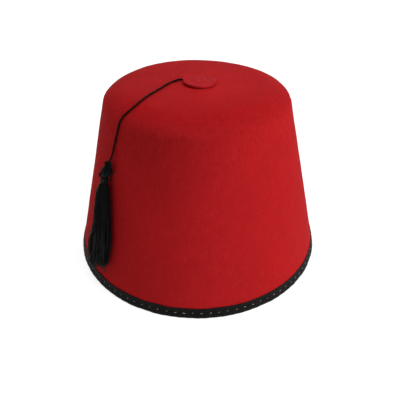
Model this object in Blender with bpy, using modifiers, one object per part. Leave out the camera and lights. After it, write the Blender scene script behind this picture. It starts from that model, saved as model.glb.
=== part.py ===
# Fez hat: a blocked felt crown with a bound rim, a felt button on its top,
# and a tassel that hangs from the button on a thin cord.
#
# Metres, +Z up. The origin is the middle of the rim, on the surface the hat
# rests on. +Z is the crown's axis. Azimuth is measured from +X towards +Y.
#
# The crown's outer line runs from the middle of the top, out over the
# shoulder and down the side. Everything on the crown is placed by its
# distance along that line, its azimuth and its lift off the felt.

import math

import bmesh
import bpy
from mathutils import Matrix, Vector

MM = 0.001

# ---------------------------------------------------------------- crown
RIM_RADIUS = 95.4 * MM        # felt's outside, carried down to the floor line
CORNER_RADIUS = 62.5 * MM     # where the side and the top would meet
CORNER_HEIGHT = 128.8 * MM
SHOULDER_ON_SIDE = 9.6 * MM   # how far the soft shoulder reaches down the side
SHOULDER_ON_TOP = 18.2 * MM   # and in across the top
SHOULDER_FULLNESS = 0.7       # 0 is a straight bevel, 1 and over is a full corner
TOP_DOME = 0.4 * MM           # rise of the top's middle over its corner
FELT = 2.0 * MM               # wall of the felt
CROWN_STEPS = 64              # facets round the hat

# ---------------------------------------------------------------- rim binding
GAP = 0.3 * MM                # clearance between pieces that touch
TAPE = 0.6 * MM               # thickness of the folded tape
BINDING_HEIGHT = 8.0 * MM     # outside leg, over the floor
BINDING_INSIDE = 7.4 * MM     # inside leg
TAPE_ROUND = 0.25 * MM        # rounding of the tape's two edges
RIM_ROUND = 0.9 * MM          # rounding of the fold

# ---------------------------------------------------------------- button
BUTTON_RADIUS = 11.3 * MM
BUTTON_THICK = 1.9 * MM
BUTTON_OFFSET = 1.6 * MM      # along +X from the crown's axis
BUTTON_BUMP = 0.4 * MM        # raised middle, over the stitches
BUTTON_BUMP_RADIUS = 4.2 * MM
BUTTON_STEPS = 40

# ---------------------------------------------------------------- cord
CORD_RADIUS = 0.75 * MM
CORD_POINTS = 46
CORD_LIFT = CORD_RADIUS + GAP
# distance along the crown's line (mm), azimuth (degrees), lift (mm)
CORD_ROUTE = (
    # dist,  azimuth, lift
    (11.4, -208.0, 1.05),     # at the button's edge
    (14.6, -191.4, 1.05),
    (19.3, -172.8, 1.05),
    (25.1, -157.7, 1.05),
    (31.8, -148.6, 1.05),
    (38.8, -142.8, 1.05),
    (46.2, -138.0, 1.05),
    (52.6, -135.5, 1.05),
    (59.0, -135.4, 1.05),     # over the shoulder
    (65.4, -136.1, 1.05),
    (72.7, -137.2, 1.05),
    (81.0, -138.6, 1.05),
    (86.0, -138.9, 1.35),
    (89.6, -138.6, 2.20),     # lifts off the felt to the tassel's top
    (92.7, -139.0, 3.00),
)

# ---------------------------------------------------------------- tassel
TASSEL_TOP = 93.0 * MM        # distance along the crown's line
HEAD_AZIMUTH = -139.1         # degrees, at the tassel's top
HEAD_LEAN = 9.0               # degrees that its head and neck hang off the wall's line
TASSEL_LIFT = 3.75 * MM       # its axis off the felt, at the head and neck
TASSEL_WIDER = 1.14           # pressed a little flat against the crown
TASSEL_FLATTER = 0.90
TASSEL_STEPS = 24
# the folded threads: distance down the axis (mm), radius (mm)
HEAD_LINE = (
    # down, radius
    (0.0, 1.10),
    (0.5, 1.45),
    (2.0, 1.95),
    (3.6, 2.55),
    (5.0, 3.15),
    (6.4, 3.45),
    (7.6, 3.45),
    (8.8, 3.10),
    (10.0, 2.65),
    (11.2, 2.30),
    (12.1, 1.85),
    (16.5, 1.80),             # neck, inside the winding
)
WRAP_FROM = 12.4 * MM         # the winding round the neck
WRAP_LONG = 4.0 * MM
WRAP_INNER = 2.05 * MM
WRAP_OUTER = 2.60 * MM
WRAP_ROUND = 0.25 * MM
SKIRT_AZIMUTH = -140.0        # degrees
SKIRT_SIDES = 24
# distance down from the tassel's top, half width, half depth, lift, and
# shift sideways (mm)
SKIRT_SECTIONS = (
    # down, width, depth, lift, shift
    (17.0, 2.4, 2.3, 3.80, -1.3),
    (18.2, 4.0, 2.9, 3.80, -1.4),
    (20.2, 5.2, 3.1, 3.85, -1.5),
    (22.5, 6.3, 3.2, 3.90, -1.6),
    (25.5, 7.1, 3.4, 3.95, -1.4),
    (29.5, 7.8, 3.5, 4.00, -0.6),
    (34.0, 8.3, 3.6, 4.05, 0.1),
    (39.0, 9.2, 3.7, 4.10, 0.8),
    (44.0, 9.9, 3.7, 4.10, 1.2),
    (49.0, 10.3, 3.8, 4.15, 1.7),
    (54.0, 10.8, 3.8, 4.15, 1.8),
    (60.0, 11.9, 3.7, 4.10, 0.9),
    (66.0, 12.3, 3.6, 3.95, 0.7),
    (70.5, 12.0, 3.3, 3.70, 0.7),
    (75.0, 11.2, 3.0, 3.35, 0.6),
)

# ---------------------------------------------------------------- colours
# linear base colour, roughness
FINISHES = {
    "red_felt": ((0.42, 0.012, 0.016, 1.0), 0.95),
    "black_tape": ((0.012, 0.012, 0.013, 1.0), 0.70),
    "black_cord": ((0.010, 0.009, 0.009, 1.0), 0.55),
    "black_thread": ((0.008, 0.008, 0.008, 1.0), 0.50),
    "black_winding": ((0.010, 0.010, 0.011, 1.0), 0.50),
    "button_felt": ((0.45, 0.020, 0.024, 1.0), 0.95),
}


# ================================================================ helpers
def material(name):
    colour, rough = FINISHES[name]
    m = bpy.data.materials.new(name)
    m.use_nodes = True
    m.diffuse_color = colour
    shader = m.node_tree.nodes["Principled BSDF"]
    shader.inputs["Base Color"].default_value = colour
    shader.inputs["Roughness"].default_value = rough
    shader.inputs["Metallic"].default_value = 0.0
    return m


def add_object(name, data, finish, parent=None):
    data.materials.append(material(finish))
    o = bpy.data.objects.new(name, data)
    hat.objects.link(o)
    o.parent = parent
    return o


def turned(name, line, steps, finish, parent=None):
    """A profile of (radius, height) points, running down its outer side,
    turned about local Z. A line that doesn't touch the axis is closed."""
    mesh = bpy.data.meshes.new(name)
    points = [(r, 0.0, z) for r, z in line]
    edges = [(i, i + 1) for i in range(len(points) - 1)]
    if line[0][0] > 1e-6:
        edges.append((len(points) - 1, 0))
    mesh.from_pydata(points, edges, [])
    o = add_object(name, mesh, finish, parent)
    screw = o.modifiers.new("turn", "SCREW")
    screw.axis = "Z"
    screw.angle = math.tau
    screw.steps = steps
    screw.render_steps = steps
    screw.use_merge_vertices = True
    screw.merge_threshold = 0.00001
    screw.use_smooth_shade = True
    return o


def corner(before, at, after, radius, count=3):
    """Points that round the corner at `at` between its two neighbours."""
    at = Vector(at)
    u = (Vector(before) - at).normalized()
    v = (Vector(after) - at).normalized()
    half = u.angle(v) / 2
    cut = min(radius / math.tan(half), 0.45 * (Vector(before) - at).length,
              0.45 * (Vector(after) - at).length)
    a, b = at + u * cut, at + v * cut
    out = []
    for i in range(count):
        q = i / (count - 1)
        p = a * (1 - q) ** 2 + at * 2 * q * (1 - q) + b * q ** 2
        out.append((p.x, p.y))
    return out


def catmull(rows, count):
    """`count` rows on one smooth curve through the given rows."""
    rows = [tuple(map(float, r)) for r in rows]
    padded = ([tuple(2 * a - b for a, b in zip(rows[0], rows[1]))] + rows
              + [tuple(2 * a - b for a, b in zip(rows[-1], rows[-2]))])
    spans = len(rows) - 1
    out = []
    for i in range(count):
        x = spans * i / (count - 1)
        k = min(int(x), spans - 1)
        t = x - k
        p0, p1, p2, p3 = padded[k:k + 4]
        out.append(tuple(
            0.5 * (2 * b + (c - a) * t + (2 * a - 5 * b + 4 * c - d) * t * t
                   + (3 * b - a - 3 * c + d) * t ** 3)
            for a, b, c, d in zip(p0, p1, p2, p3)))
    return out


# ================================================================ crown line
SIDE = Vector((RIM_RADIUS - CORNER_RADIUS, -CORNER_HEIGHT)).normalized()
LEAN = math.atan2(SIDE.x, -SIDE.y)     # the wall's lean from upright


def top_height(r):
    return CORNER_HEIGHT + TOP_DOME * (1 - (r / CORNER_RADIUS) ** 2)


def crown_line(top_count, shoulder_count, side_count, foot):
    """The crown's outer line from its middle to height `foot`, as
    (radius, height) points."""
    edge = CORNER_RADIUS - SHOULDER_ON_TOP
    top = [Vector((edge * i / top_count, top_height(edge * i / top_count)))
           for i in range(top_count + 1)]
    start = top[-1]
    slope = -2 * TOP_DOME * edge / CORNER_RADIUS ** 2
    # the corner where the top's tangent meets the side's line
    lean = math.tan(LEAN)
    meet_r = (RIM_RADIUS - lean * (start.y - slope * edge)) / (1 + lean * slope)
    meet = Vector((meet_r, start.y + slope * (meet_r - edge)))
    end = Vector((CORNER_RADIUS, CORNER_HEIGHT)) + SIDE * SHOULDER_ON_SIDE
    w = SHOULDER_FULLNESS
    shoulder = []
    for i in range(1, shoulder_count + 1):
        q = i / shoulder_count
        a, b, c = (1 - q) ** 2, 2 * w * q * (1 - q), q ** 2
        shoulder.append((start * a + meet * b + end * c) / (a + b + c))
    last = Vector((RIM_RADIUS - foot * math.tan(LEAN), foot))
    side = [end.lerp(last, i / side_count) for i in range(1, side_count + 1)]
    return top + shoulder + side


FINE = crown_line(20, 40, 40, 0.0)
ALONG = [0.0]
for a, b in zip(FINE, FINE[1:]):
    ALONG.append(ALONG[-1] + (b - a).length)


def on_line(distance):
    """Point, outward normal and downward tangent of the crown's line."""
    k = 0
    while k < len(ALONG) - 2 and ALONG[k + 1] < distance:
        k += 1
    t = (distance - ALONG[k]) / (ALONG[k + 1] - ALONG[k])
    p = FINE[k].lerp(FINE[k + 1], t)

    def heading(i):
        i = max(0, min(i, len(FINE) - 2))
        return (FINE[i + 1] - FINE[i]).normalized()

    # tangents blend from the middle of one short edge to the next
    d = heading(k - 1).lerp(heading(k), t + 0.5) if t < 0.5 else \
        heading(k).lerp(heading(k + 1), t - 0.5)
    d.normalize()
    return p, Vector((-d.y, d.x)), d


def on_crown(distance, azimuth, lift):
    p, n, _ = on_line(distance)
    q = p + n * lift
    a = math.radians(azimuth)
    return Vector((q.x * math.cos(a), q.x * math.sin(a), q.y))


def wall_frame(distance, azimuth):
    """Axes on the crown: outward, sideways and up the wall."""
    _, n, d = on_line(distance)
    a = math.radians(azimuth)
    out = Vector((n.x * math.cos(a), n.x * math.sin(a), n.y))
    up = -Vector((d.x * math.cos(a), d.x * math.sin(a), d.y))
    side = up.cross(out)
    return out, side, up


# ================================================================ scene
for o in list(bpy.data.objects):
    bpy.data.objects.remove(o, do_unlink=True)
hat = bpy.data.collections.new("fez_hat")
bpy.context.scene.collection.children.link(hat)

# ---------------------------------------------------------------- crown
FOOT = TAPE + GAP
outer = crown_line(2, 8, 3, FOOT)
inner = []
for i, p in enumerate(outer):
    before = outer[i - 1] if i else Vector((-outer[1].x, outer[1].y))
    after = outer[i + 1] if i + 1 < len(outer) else p + SIDE * MM
    d = ((p - before).normalized() + (after - p).normalized()).normalized()
    inner.append(p - Vector((-d.y, d.x)) * FELT)
inner[0].x = 0.0
inner[-1] = Vector((outer[-1].x - FELT / math.cos(LEAN), FOOT))
crown = turned("crown", [tuple(p) for p in outer] + [tuple(p) for p in reversed(inner)],
               CROWN_STEPS, "red_felt")


# ---------------------------------------------------------------- rim binding
def beside_wall(z, off):
    """Radius at height z of the line `off` outside the felt's outer face."""
    return RIM_RADIUS - z * math.tan(LEAN) + off / math.cos(LEAN)


out_face, out_felt = GAP + TAPE, GAP
in_felt, in_face = -(FELT + GAP), -(FELT + GAP + TAPE)
path = [
    (beside_wall(BINDING_HEIGHT, out_face), BINDING_HEIGHT, TAPE_ROUND),
    (beside_wall(0.0, out_face), 0.0, RIM_ROUND),
    (beside_wall(0.0, in_face), 0.0, RIM_ROUND),
    (beside_wall(BINDING_INSIDE, in_face), BINDING_INSIDE, TAPE_ROUND),
    (beside_wall(BINDING_INSIDE, in_felt), BINDING_INSIDE, TAPE_ROUND),
    (beside_wall(TAPE, in_felt), TAPE, 0.0),
    (beside_wall(TAPE, out_felt), TAPE, 0.0),
    (beside_wall(BINDING_HEIGHT, out_felt), BINDING_HEIGHT, TAPE_ROUND),
]
fold = []
for i, (r, z, rounding) in enumerate(path):
    if rounding:
        fold += corner(path[i - 1][:2], (r, z), path[(i + 1) % len(path)][:2],
                       rounding, 4 if rounding == RIM_ROUND else 2)
    else:
        fold.append((r, z))
rim_binding = turned("rim_binding", fold, CROWN_STEPS, "black_tape")

# ---------------------------------------------------------------- button
low = top_height(0.0) + GAP
high = low + BUTTON_THICK
r = BUTTON_RADIUS
top_button = turned("top_button", [
    (0.0, high + BUTTON_BUMP),
    (BUTTON_BUMP_RADIUS * 0.55, high + BUTTON_BUMP * 0.8),
    (BUTTON_BUMP_RADIUS, high),
    (r - 0.5 * MM, high - 0.05 * MM),
    (r - 0.12 * MM, high - 0.3 * MM),
    (r, high - 0.75 * MM),
    (r - 0.12 * MM, low + 0.2 * MM),
    (r - 0.4 * MM, low),
    (0.0, low),
], BUTTON_STEPS, "button_felt")
top_button.location.x = BUTTON_OFFSET

# ---------------------------------------------------------------- cord
curve = bpy.data.curves.new("tassel_cord", "CURVE")
curve.dimensions = "3D"
curve.bevel_depth = CORD_RADIUS
curve.bevel_resolution = 2
curve.use_fill_caps = True
curve.resolution_u = 1
curve.render_resolution_u = 0
route = [on_crown(d * MM, az, lift * MM) for d, az, lift in catmull(CORD_ROUTE, CORD_POINTS)]
spline = curve.splines.new("POLY")
spline.points.add(len(route) - 1)
for point, p in zip(spline.points, route):
    point.co = (*p, 1.0)
tassel_cord = add_object("tassel_cord", curve, "black_cord")

# ---------------------------------------------------------------- tassel
# the empty stands at the tassel's top, with local Z up along its lean and
# local X out of the wall; the head and the winding are turned about that axis
out, side, up = wall_frame(TASSEL_TOP, HEAD_AZIMUTH)
lean = math.radians(HEAD_LEAN)
side, up = (side * math.cos(lean) - up * math.sin(lean),
            up * math.cos(lean) + side * math.sin(lean))
tassel_hang = bpy.data.objects.new("tassel_hang", None)
tassel_hang.empty_display_size = 0.01
hat.objects.link(tassel_hang)
turn = Matrix((out, side, up)).transposed().to_4x4()
tassel_hang.matrix_world = (Matrix.Translation(on_crown(TASSEL_TOP, HEAD_AZIMUTH, TASSEL_LIFT))
                            @ turn @ Matrix.Diagonal((TASSEL_FLATTER, TASSEL_WIDER, 1.0, 1.0)))

head_line = [(0.0, 0.0)] + [(rad * MM, -down * MM) for down, rad in HEAD_LINE]
head_line.append((0.0, -HEAD_LINE[-1][0] * MM))
tassel_head = turned("tassel_head", head_line, TASSEL_STEPS, "black_thread", tassel_hang)

a, b = -WRAP_FROM, -(WRAP_FROM + WRAP_LONG)
ring = [(WRAP_OUTER, a), (WRAP_OUTER, b), (WRAP_INNER, b), (WRAP_INNER, a)]
wrap_line = []
for i, p in enumerate(ring):
    wrap_line += corner(ring[i - 1], p, ring[(i + 1) % 4], WRAP_ROUND, 2)
tassel_wrap = turned("tassel_wrap", wrap_line, TASSEL_STEPS, "black_winding", tassel_hang)

# the skirt is a loft of flattened sections that bend with the wall behind
# them, from the round neck to the wide flat hem
bm = bmesh.new()
loops = []
for down, width, depth, lift, shift in SKIRT_SECTIONS:
    distance = TASSEL_TOP + down * MM
    here = on_line(distance)[0].x
    loop = []
    for i in range(SKIRT_SIDES):
        t = math.tau * i / SKIRT_SIDES
        across = (shift + width * math.cos(t)) * MM
        off = (lift + depth * math.sin(t)) * MM
        azimuth = SKIRT_AZIMUTH + math.degrees(across / here)
        loop.append(bm.verts.new(on_crown(distance, azimuth, off)))
    loops.append(loop)
for first, second in zip(loops, loops[1:]):
    for i in range(SKIRT_SIDES):
        j = (i + 1) % SKIRT_SIDES
        bm.faces.new((first[i], first[j], second[j], second[i]))
bm.faces.new(loops[0])
bm.faces.new(loops[-1])
bmesh.ops.recalc_face_normals(bm, faces=bm.faces)
mesh = bpy.data.meshes.new("tassel_skirt")
bm.to_mesh(mesh)
bm.free()
mesh.shade_smooth()
mesh.set_sharp_from_angle(angle=math.radians(50))
tassel_skirt = add_object("tassel_skirt", mesh, "black_thread")
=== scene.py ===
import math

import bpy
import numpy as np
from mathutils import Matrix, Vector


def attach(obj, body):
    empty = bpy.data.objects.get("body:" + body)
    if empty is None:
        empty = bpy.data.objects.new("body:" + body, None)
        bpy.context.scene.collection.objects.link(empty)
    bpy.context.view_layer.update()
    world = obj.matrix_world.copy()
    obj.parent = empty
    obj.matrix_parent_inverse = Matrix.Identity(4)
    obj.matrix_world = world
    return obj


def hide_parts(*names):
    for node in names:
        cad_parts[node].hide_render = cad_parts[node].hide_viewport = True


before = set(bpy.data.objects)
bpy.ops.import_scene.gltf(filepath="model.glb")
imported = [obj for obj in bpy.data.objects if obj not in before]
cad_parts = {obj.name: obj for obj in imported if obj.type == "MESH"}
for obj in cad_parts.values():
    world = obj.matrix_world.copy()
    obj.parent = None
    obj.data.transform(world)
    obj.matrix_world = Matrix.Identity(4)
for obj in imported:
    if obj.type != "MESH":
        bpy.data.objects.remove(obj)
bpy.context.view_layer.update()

# The looks of a fez: blocked red felt, a black tape folded over its rim and
# sewn through, a pressed felt button, and a black tassel on a twisted cord.
#
# Metres, +Z up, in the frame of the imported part. The crown's outer line runs
# from the middle of the top over the shoulder to the rim. Places on the crown
# are given by the distance along that line, the azimuth and the lift.

MM = 0.001
TAU = math.tau

# ================================================================ sizes
RIM_RADIUS = 95.4 * MM
CORNER_RADIUS = 62.5 * MM
CORNER_HEIGHT = 128.8 * MM
SHOULDER_ON_SIDE = 9.6 * MM
SHOULDER_ON_TOP = 18.2 * MM
SHOULDER_FULLNESS = 0.7
TOP_DOME = 0.4 * MM
FELT = 2.0 * MM
BINDING_HEIGHT = 8.0 * MM
BINDING_INSIDE = 7.4 * MM
BUTTON_RADIUS = 11.3 * MM
BUTTON_OFFSET = 1.6 * MM

# the cord's route on the crown: distance (mm), azimuth (degrees), lift (mm)
CORD_ROUTE = (
    (11.4, -208.0, 1.05),
    (14.6, -191.4, 1.05),
    (19.3, -172.8, 1.05),
    (25.1, -157.7, 1.05),
    (31.8, -148.6, 1.05),
    (38.8, -142.8, 1.05),
    (46.2, -138.0, 1.05),
    (52.6, -135.5, 1.05),
    (59.0, -135.4, 1.05),
    (65.4, -136.1, 1.05),
    (72.7, -137.2, 1.05),
    (81.0, -138.6, 1.05),
    (86.0, -138.9, 1.35),
    (89.6, -138.6, 2.20),
    (92.7, -139.0, 3.00),
)
TASSEL_TOP = 93.0 * MM
HEAD_AZIMUTH = -139.1
HEAD_LEAN = 9.0
TASSEL_LIFT = 3.75 * MM
TASSEL_WIDER = 1.14
TASSEL_FLATTER = 0.90
# the folded threads: distance down the axis (mm), radius (mm)
HEAD_LINE = (
    (0.0, 1.10), (0.5, 1.45), (2.0, 1.95), (3.6, 2.55), (5.0, 3.15), (6.4, 3.45),
    (7.6, 3.45), (8.8, 3.10), (10.0, 2.65), (11.2, 2.30), (12.1, 1.85), (16.5, 1.80),
)
WRAP_FROM = 12.4 * MM
WRAP_LONG = 4.0 * MM
WRAP_MIDDLE = 2.28 * MM
SKIRT_AZIMUTH = -140.0
# the hanging threads: down from the tassel's top, half width, half depth,
# lift and shift sideways (mm)
SKIRT_SECTIONS = (
    (12.5, 1.6, 1.5, 3.75, -0.9),
    (15.6, 1.7, 1.6, 3.75, -1.3),
    (17.0, 2.4, 2.3, 3.80, -1.3),
    (18.2, 3.5, 2.9, 3.80, -1.0),
    (20.2, 4.7, 3.1, 3.85, -1.0),
    (22.5, 5.9, 3.2, 3.90, -1.2),
    (25.5, 6.9, 3.4, 3.95, -1.2),
    (29.5, 7.8, 3.5, 4.00, -0.6),
    (34.0, 8.3, 3.6, 4.05, 0.1),
    (39.0, 9.2, 3.7, 4.10, 0.8),
    (44.0, 9.9, 3.7, 4.10, 1.2),
    (49.0, 10.3, 3.8, 4.15, 1.7),
    (54.0, 10.8, 3.8, 4.15, 1.8),
    (60.0, 11.9, 3.7, 4.10, 0.9),
    (66.0, 12.3, 3.6, 3.95, 0.7),
    (70.5, 12.1, 3.3, 3.70, 0.7),
    (75.0, 11.9, 3.0, 3.35, 0.5),
    (86.0, 11.7, 2.7, 3.05, 0.1),
)


# ================================================================ small helpers
def smooth(x, low=0.0, high=1.0):
    t = np.clip((np.asarray(x, float) - low) / (high - low), 0.0, 1.0)
    return t * t * (3 - 2 * t)


def bell(x, at, width):
    return np.exp(-0.5 * ((np.asarray(x, float) - at) / width) ** 2)


def catmull(rows, count):
    """`count` rows on one smooth curve through the given rows."""
    rows = np.asarray(rows, float)
    padded = np.vstack([2 * rows[0] - rows[1], rows, 2 * rows[-1] - rows[-2]])
    spans = len(rows) - 1
    x = np.linspace(0, spans, count)
    k = np.minimum(x.astype(int), spans - 1)
    t = (x - k)[:, None]
    a, b, c, d = padded[k], padded[k + 1], padded[k + 2], padded[k + 3]
    return 0.5 * (2 * b + (c - a) * t + (2 * a - 5 * b + 4 * c - d) * t * t
                  + (3 * b - a - 3 * c + d) * t ** 3)


def unit(v):
    return v / np.maximum(np.linalg.norm(v, axis=-1, keepdims=True), 1e-12)


class Waves:
    """A smooth random field: many cosines of random heading and wavelength."""

    def __init__(self, seed, count, short, long, squeeze=(1, 1, 1)):
        rng = np.random.default_rng(seed)
        heading = unit(rng.normal(size=(count, 3)))
        length = np.exp(rng.uniform(math.log(short), math.log(long), count))
        self.k = heading * (TAU / length)[:, None] * np.asarray(squeeze, float)
        self.phase = rng.uniform(0, TAU, count)
        self.gain = math.sqrt(2.0 / count)

    def __call__(self, p):
        return self.gain * np.cos(p @ self.k.T + self.phase).sum(axis=-1)


# ================================================================ crown line
SIDE = np.array([RIM_RADIUS - CORNER_RADIUS, -CORNER_HEIGHT])
SIDE = SIDE / np.linalg.norm(SIDE)
LEAN = math.atan2(SIDE[0], -SIDE[1])


def crown_line():
    """The outer line from the middle of the top to the floor line, as fine
    (radius, height) points."""
    edge = CORNER_RADIUS - SHOULDER_ON_TOP
    r = np.linspace(0, edge, 90)
    top = np.stack([r, CORNER_HEIGHT + TOP_DOME * (1 - (r / CORNER_RADIUS) ** 2)], 1)
    start = top[-1]
    slope = -2 * TOP_DOME * edge / CORNER_RADIUS ** 2
    lean = math.tan(LEAN)
    meet_r = (RIM_RADIUS - lean * (start[1] - slope * edge)) / (1 + lean * slope)
    meet = np.array([meet_r, start[1] + slope * (meet_r - edge)])
    end = np.array([CORNER_RADIUS, CORNER_HEIGHT]) + SIDE * SHOULDER_ON_SIDE
    q = np.linspace(0, 1, 160)[1:, None]
    a, b, c = (1 - q) ** 2, 2 * SHOULDER_FULLNESS * q * (1 - q), q ** 2
    shoulder = (start * a + meet * b + end * c) / (a + b + c)
    q = np.linspace(0, 1, 220)[1:, None]
    side = end * (1 - q) + np.array([RIM_RADIUS, 0.0]) * q
    return np.vstack([top, shoulder, side])


LINE = crown_line()
ALONG = np.concatenate([[0], np.cumsum(np.linalg.norm(np.diff(LINE, axis=0), axis=1))])
_tan = unit(np.gradient(LINE, ALONG, axis=0))
RIM_AT = ALONG[-1]


def on_line(distance):
    """Points, outward normals and downward tangents of the crown's line."""
    distance = np.asarray(distance, float)
    p = np.stack([np.interp(distance, ALONG, LINE[:, k]) for k in (0, 1)], -1)
    t = unit(np.stack([np.interp(distance, ALONG, _tan[:, k]) for k in (0, 1)], -1))
    return p, np.stack([-t[..., 1], t[..., 0]], -1), t


def on_crown(distance, azimuth, lift):
    """Points over the crown; azimuth in radians, the others in metres."""
    p, n, _ = on_line(distance)
    q = p + n * np.asarray(lift, float)[..., None]
    return np.stack([q[..., 0] * np.cos(azimuth), q[..., 0] * np.sin(azimuth), q[..., 1]], -1)


def wall_frame(distance, azimuth):
    """Axes on the crown: outward, sideways and up the wall."""
    _, n, t = on_line(distance)
    c, s = math.cos(azimuth), math.sin(azimuth)
    out = np.array([n[0] * c, n[0] * s, n[1]])
    up = -np.array([t[0] * c, t[0] * s, t[1]])
    return out, np.cross(up, out), up


# How the felt departs from the blocked shape. The same amount moves its outer
# and its inner face, so the wall keeps its thickness.
broad = Waves(11, 14, 48 * MM, 95 * MM)
middling = Waves(12, 26, 13 * MM, 30 * MM)
creases = Waves(13, 40, 4.5 * MM, 10 * MM, (1, 1, 0.22))
patches = Waves(14, 12, 25 * MM, 60 * MM)
_rng = np.random.default_rng(15)
PITS = []
while len(PITS) < 70:
    s = _rng.uniform(20, 176) * MM
    if _rng.uniform() < on_line(s)[0][0] / RIM_RADIUS:
        PITS.append((s, _rng.uniform(-math.pi, math.pi), _rng.uniform(1.3, 2.6) * MM,
                     _rng.uniform(-0.10, 0.05) * MM))


def felt_offset(distance, azimuth):
    distance, azimuth = np.broadcast_arrays(np.asarray(distance, float), azimuth)
    p = on_crown(distance, azimuth, np.zeros(distance.shape))
    d = 0.11 * MM * broad(p) + 0.040 * MM * middling(p)
    on_side = smooth(distance, 50 * MM, 72 * MM)
    worked = 0.5 + 1.1 * bell(distance, 76 * MM, 20 * MM)      # most at the blocked edge
    d = d + 0.026 * MM * creases(p) * on_side * worked * np.clip(0.65 + 0.55 * patches(p), 0.1, 1.6)
    for s, a, width, depth in PITS:
        here = on_crown(np.array(s), a, np.array(0.0))
        d = d + depth * np.exp(-((p - here) ** 2).sum(-1) / (2 * width ** 2))
    d = d * smooth(distance, 8 * MM, 22 * MM) * (1 - smooth(distance, 172 * MM, 184 * MM))
    # the felt stands up a little round the button that is sewn down on it
    from_button = np.hypot(p[..., 0] - BUTTON_OFFSET, p[..., 1])
    flat = 1 - smooth(distance, 30 * MM, 40 * MM)
    d = d + flat * (0.13 * MM * bell(from_button, 14.6 * MM, 1.2 * MM)
                    - 0.12 * MM * bell(from_button, 12.2 * MM, 0.9 * MM))
    # and is pressed down where the cord goes under it
    x, y = p[..., 0] + 8.0 * MM, p[..., 1] - 6.6 * MM
    near = np.exp(-((0.917 * x + 0.398 * y) ** 2 / (2 * (3.0 * MM) ** 2)
                    + (0.917 * y - 0.398 * x) ** 2 / (2 * (1.1 * MM) ** 2)))
    d = d - flat * 0.35 * MM * near
    return d


# ================================================================ mesh helpers
def add_mesh(name, verts, faces, material, smooth_shade=True):
    mesh = bpy.data.meshes.new(name)
    if isinstance(faces, np.ndarray):
        verts = np.asarray(verts, float)
        size = faces.shape[1]
        mesh.vertices.add(len(verts))
        mesh.vertices.foreach_set("co", verts.ravel())
        mesh.loops.add(faces.size)
        mesh.loops.foreach_set("vertex_index", faces.ravel().astype(np.int32))
        mesh.polygons.add(len(faces))
        mesh.polygons.foreach_set("loop_start", np.arange(0, faces.size, size, dtype=np.int32))
        mesh.polygons.foreach_set("loop_total", np.full(len(faces), size, np.int32))
        mesh.update(calc_edges=True)
    else:
        mesh.from_pydata([tuple(map(float, v)) for v in verts], [],
                         [tuple(map(int, f)) for f in faces])
    mesh.validate(clean_customdata=False)
    mesh.polygons.foreach_set("use_smooth", np.full(len(mesh.polygons), smooth_shade))
    mesh.materials.append(material)
    o = bpy.data.objects.new(name, mesh)
    bpy.context.scene.collection.objects.link(o)
    return o


def point_values(o, name, values):
    layer = o.data.attributes.new(name, "FLOAT", "POINT")
    layer.data.foreach_set("value", np.asarray(values, np.float32).ravel())


def tubes(paths, radii, sides, start_frame=None):
    """Closed round threads along paths (count, points, 3) with radii
    (count, points). Returns vertices and faces, the ends as flat caps."""
    paths, radii = np.asarray(paths, float), np.asarray(radii, float)
    count, n, _ = paths.shape
    tangent = unit(np.gradient(paths, axis=1))
    ref = np.tile([0.31, 0.17, 0.93], (count, 1))
    u = unit(ref - (ref * tangent[:, 0]).sum(-1, keepdims=True) * tangent[:, 0])
    us = [u]
    for k in range(1, n):
        t = tangent[:, k]
        u = unit(u - (u * t).sum(-1, keepdims=True) * t)
        us.append(u)
    u = np.stack(us, 1)
    v = np.cross(tangent, u)
    a = np.arange(sides) * TAU / sides
    ring = (paths[:, :, None] + radii[:, :, None, None]
            * (np.cos(a)[:, None] * u[:, :, None] + np.sin(a)[:, None] * v[:, :, None]))
    verts = ring.reshape(-1, 3)
    base = (np.arange(count) * n * sides)[:, None, None]
    k = (np.arange(n - 1) * sides)[None, :, None]
    j = np.arange(sides)[None, None, :]
    j2 = (j + 1) % sides
    a0, a1 = base + k + j, base + k + j2
    quads = np.stack([a0, a1, a1 + sides, a0 + sides], -1).reshape(-1, 4)
    caps = []
    for c in range(count):
        first = c * n * sides
        last = first + (n - 1) * sides
        caps.append([first + i for i in reversed(range(sides))])
        caps.append([last + i for i in range(sides)])
    return verts, quads, caps


def thread_piece(name, groups, material):
    """One joined mesh from (paths, radii, sides, tone) groups of threads.
    Each thread carries its tone, a number from 0 to 1."""
    verts, faces, tone, along = [], [], [], []
    at = 0
    for paths, radii, sides, tones in groups:
        paths = np.asarray(paths, float)
        v, q, caps = tubes(paths, radii, sides)
        verts.append(v)
        faces += [tuple(f) for f in (q + at).tolist()]
        faces += [tuple(i + at for i in f) for f in caps]
        per = paths.shape[1] * sides
        tone.append(np.repeat(np.asarray(tones, float), per))
        step = np.linalg.norm(np.diff(paths, axis=1), axis=2)
        dist = np.concatenate([np.zeros((len(paths), 1)), np.cumsum(step, axis=1)], 1)
        along.append(np.repeat(dist.ravel(), sides))
        at += len(v)
    o = add_mesh(name, np.vstack(verts), faces, material)
    point_values(o, "tone", np.concatenate(tone))
    point_values(o, "along", np.concatenate(along))
    return o


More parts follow.
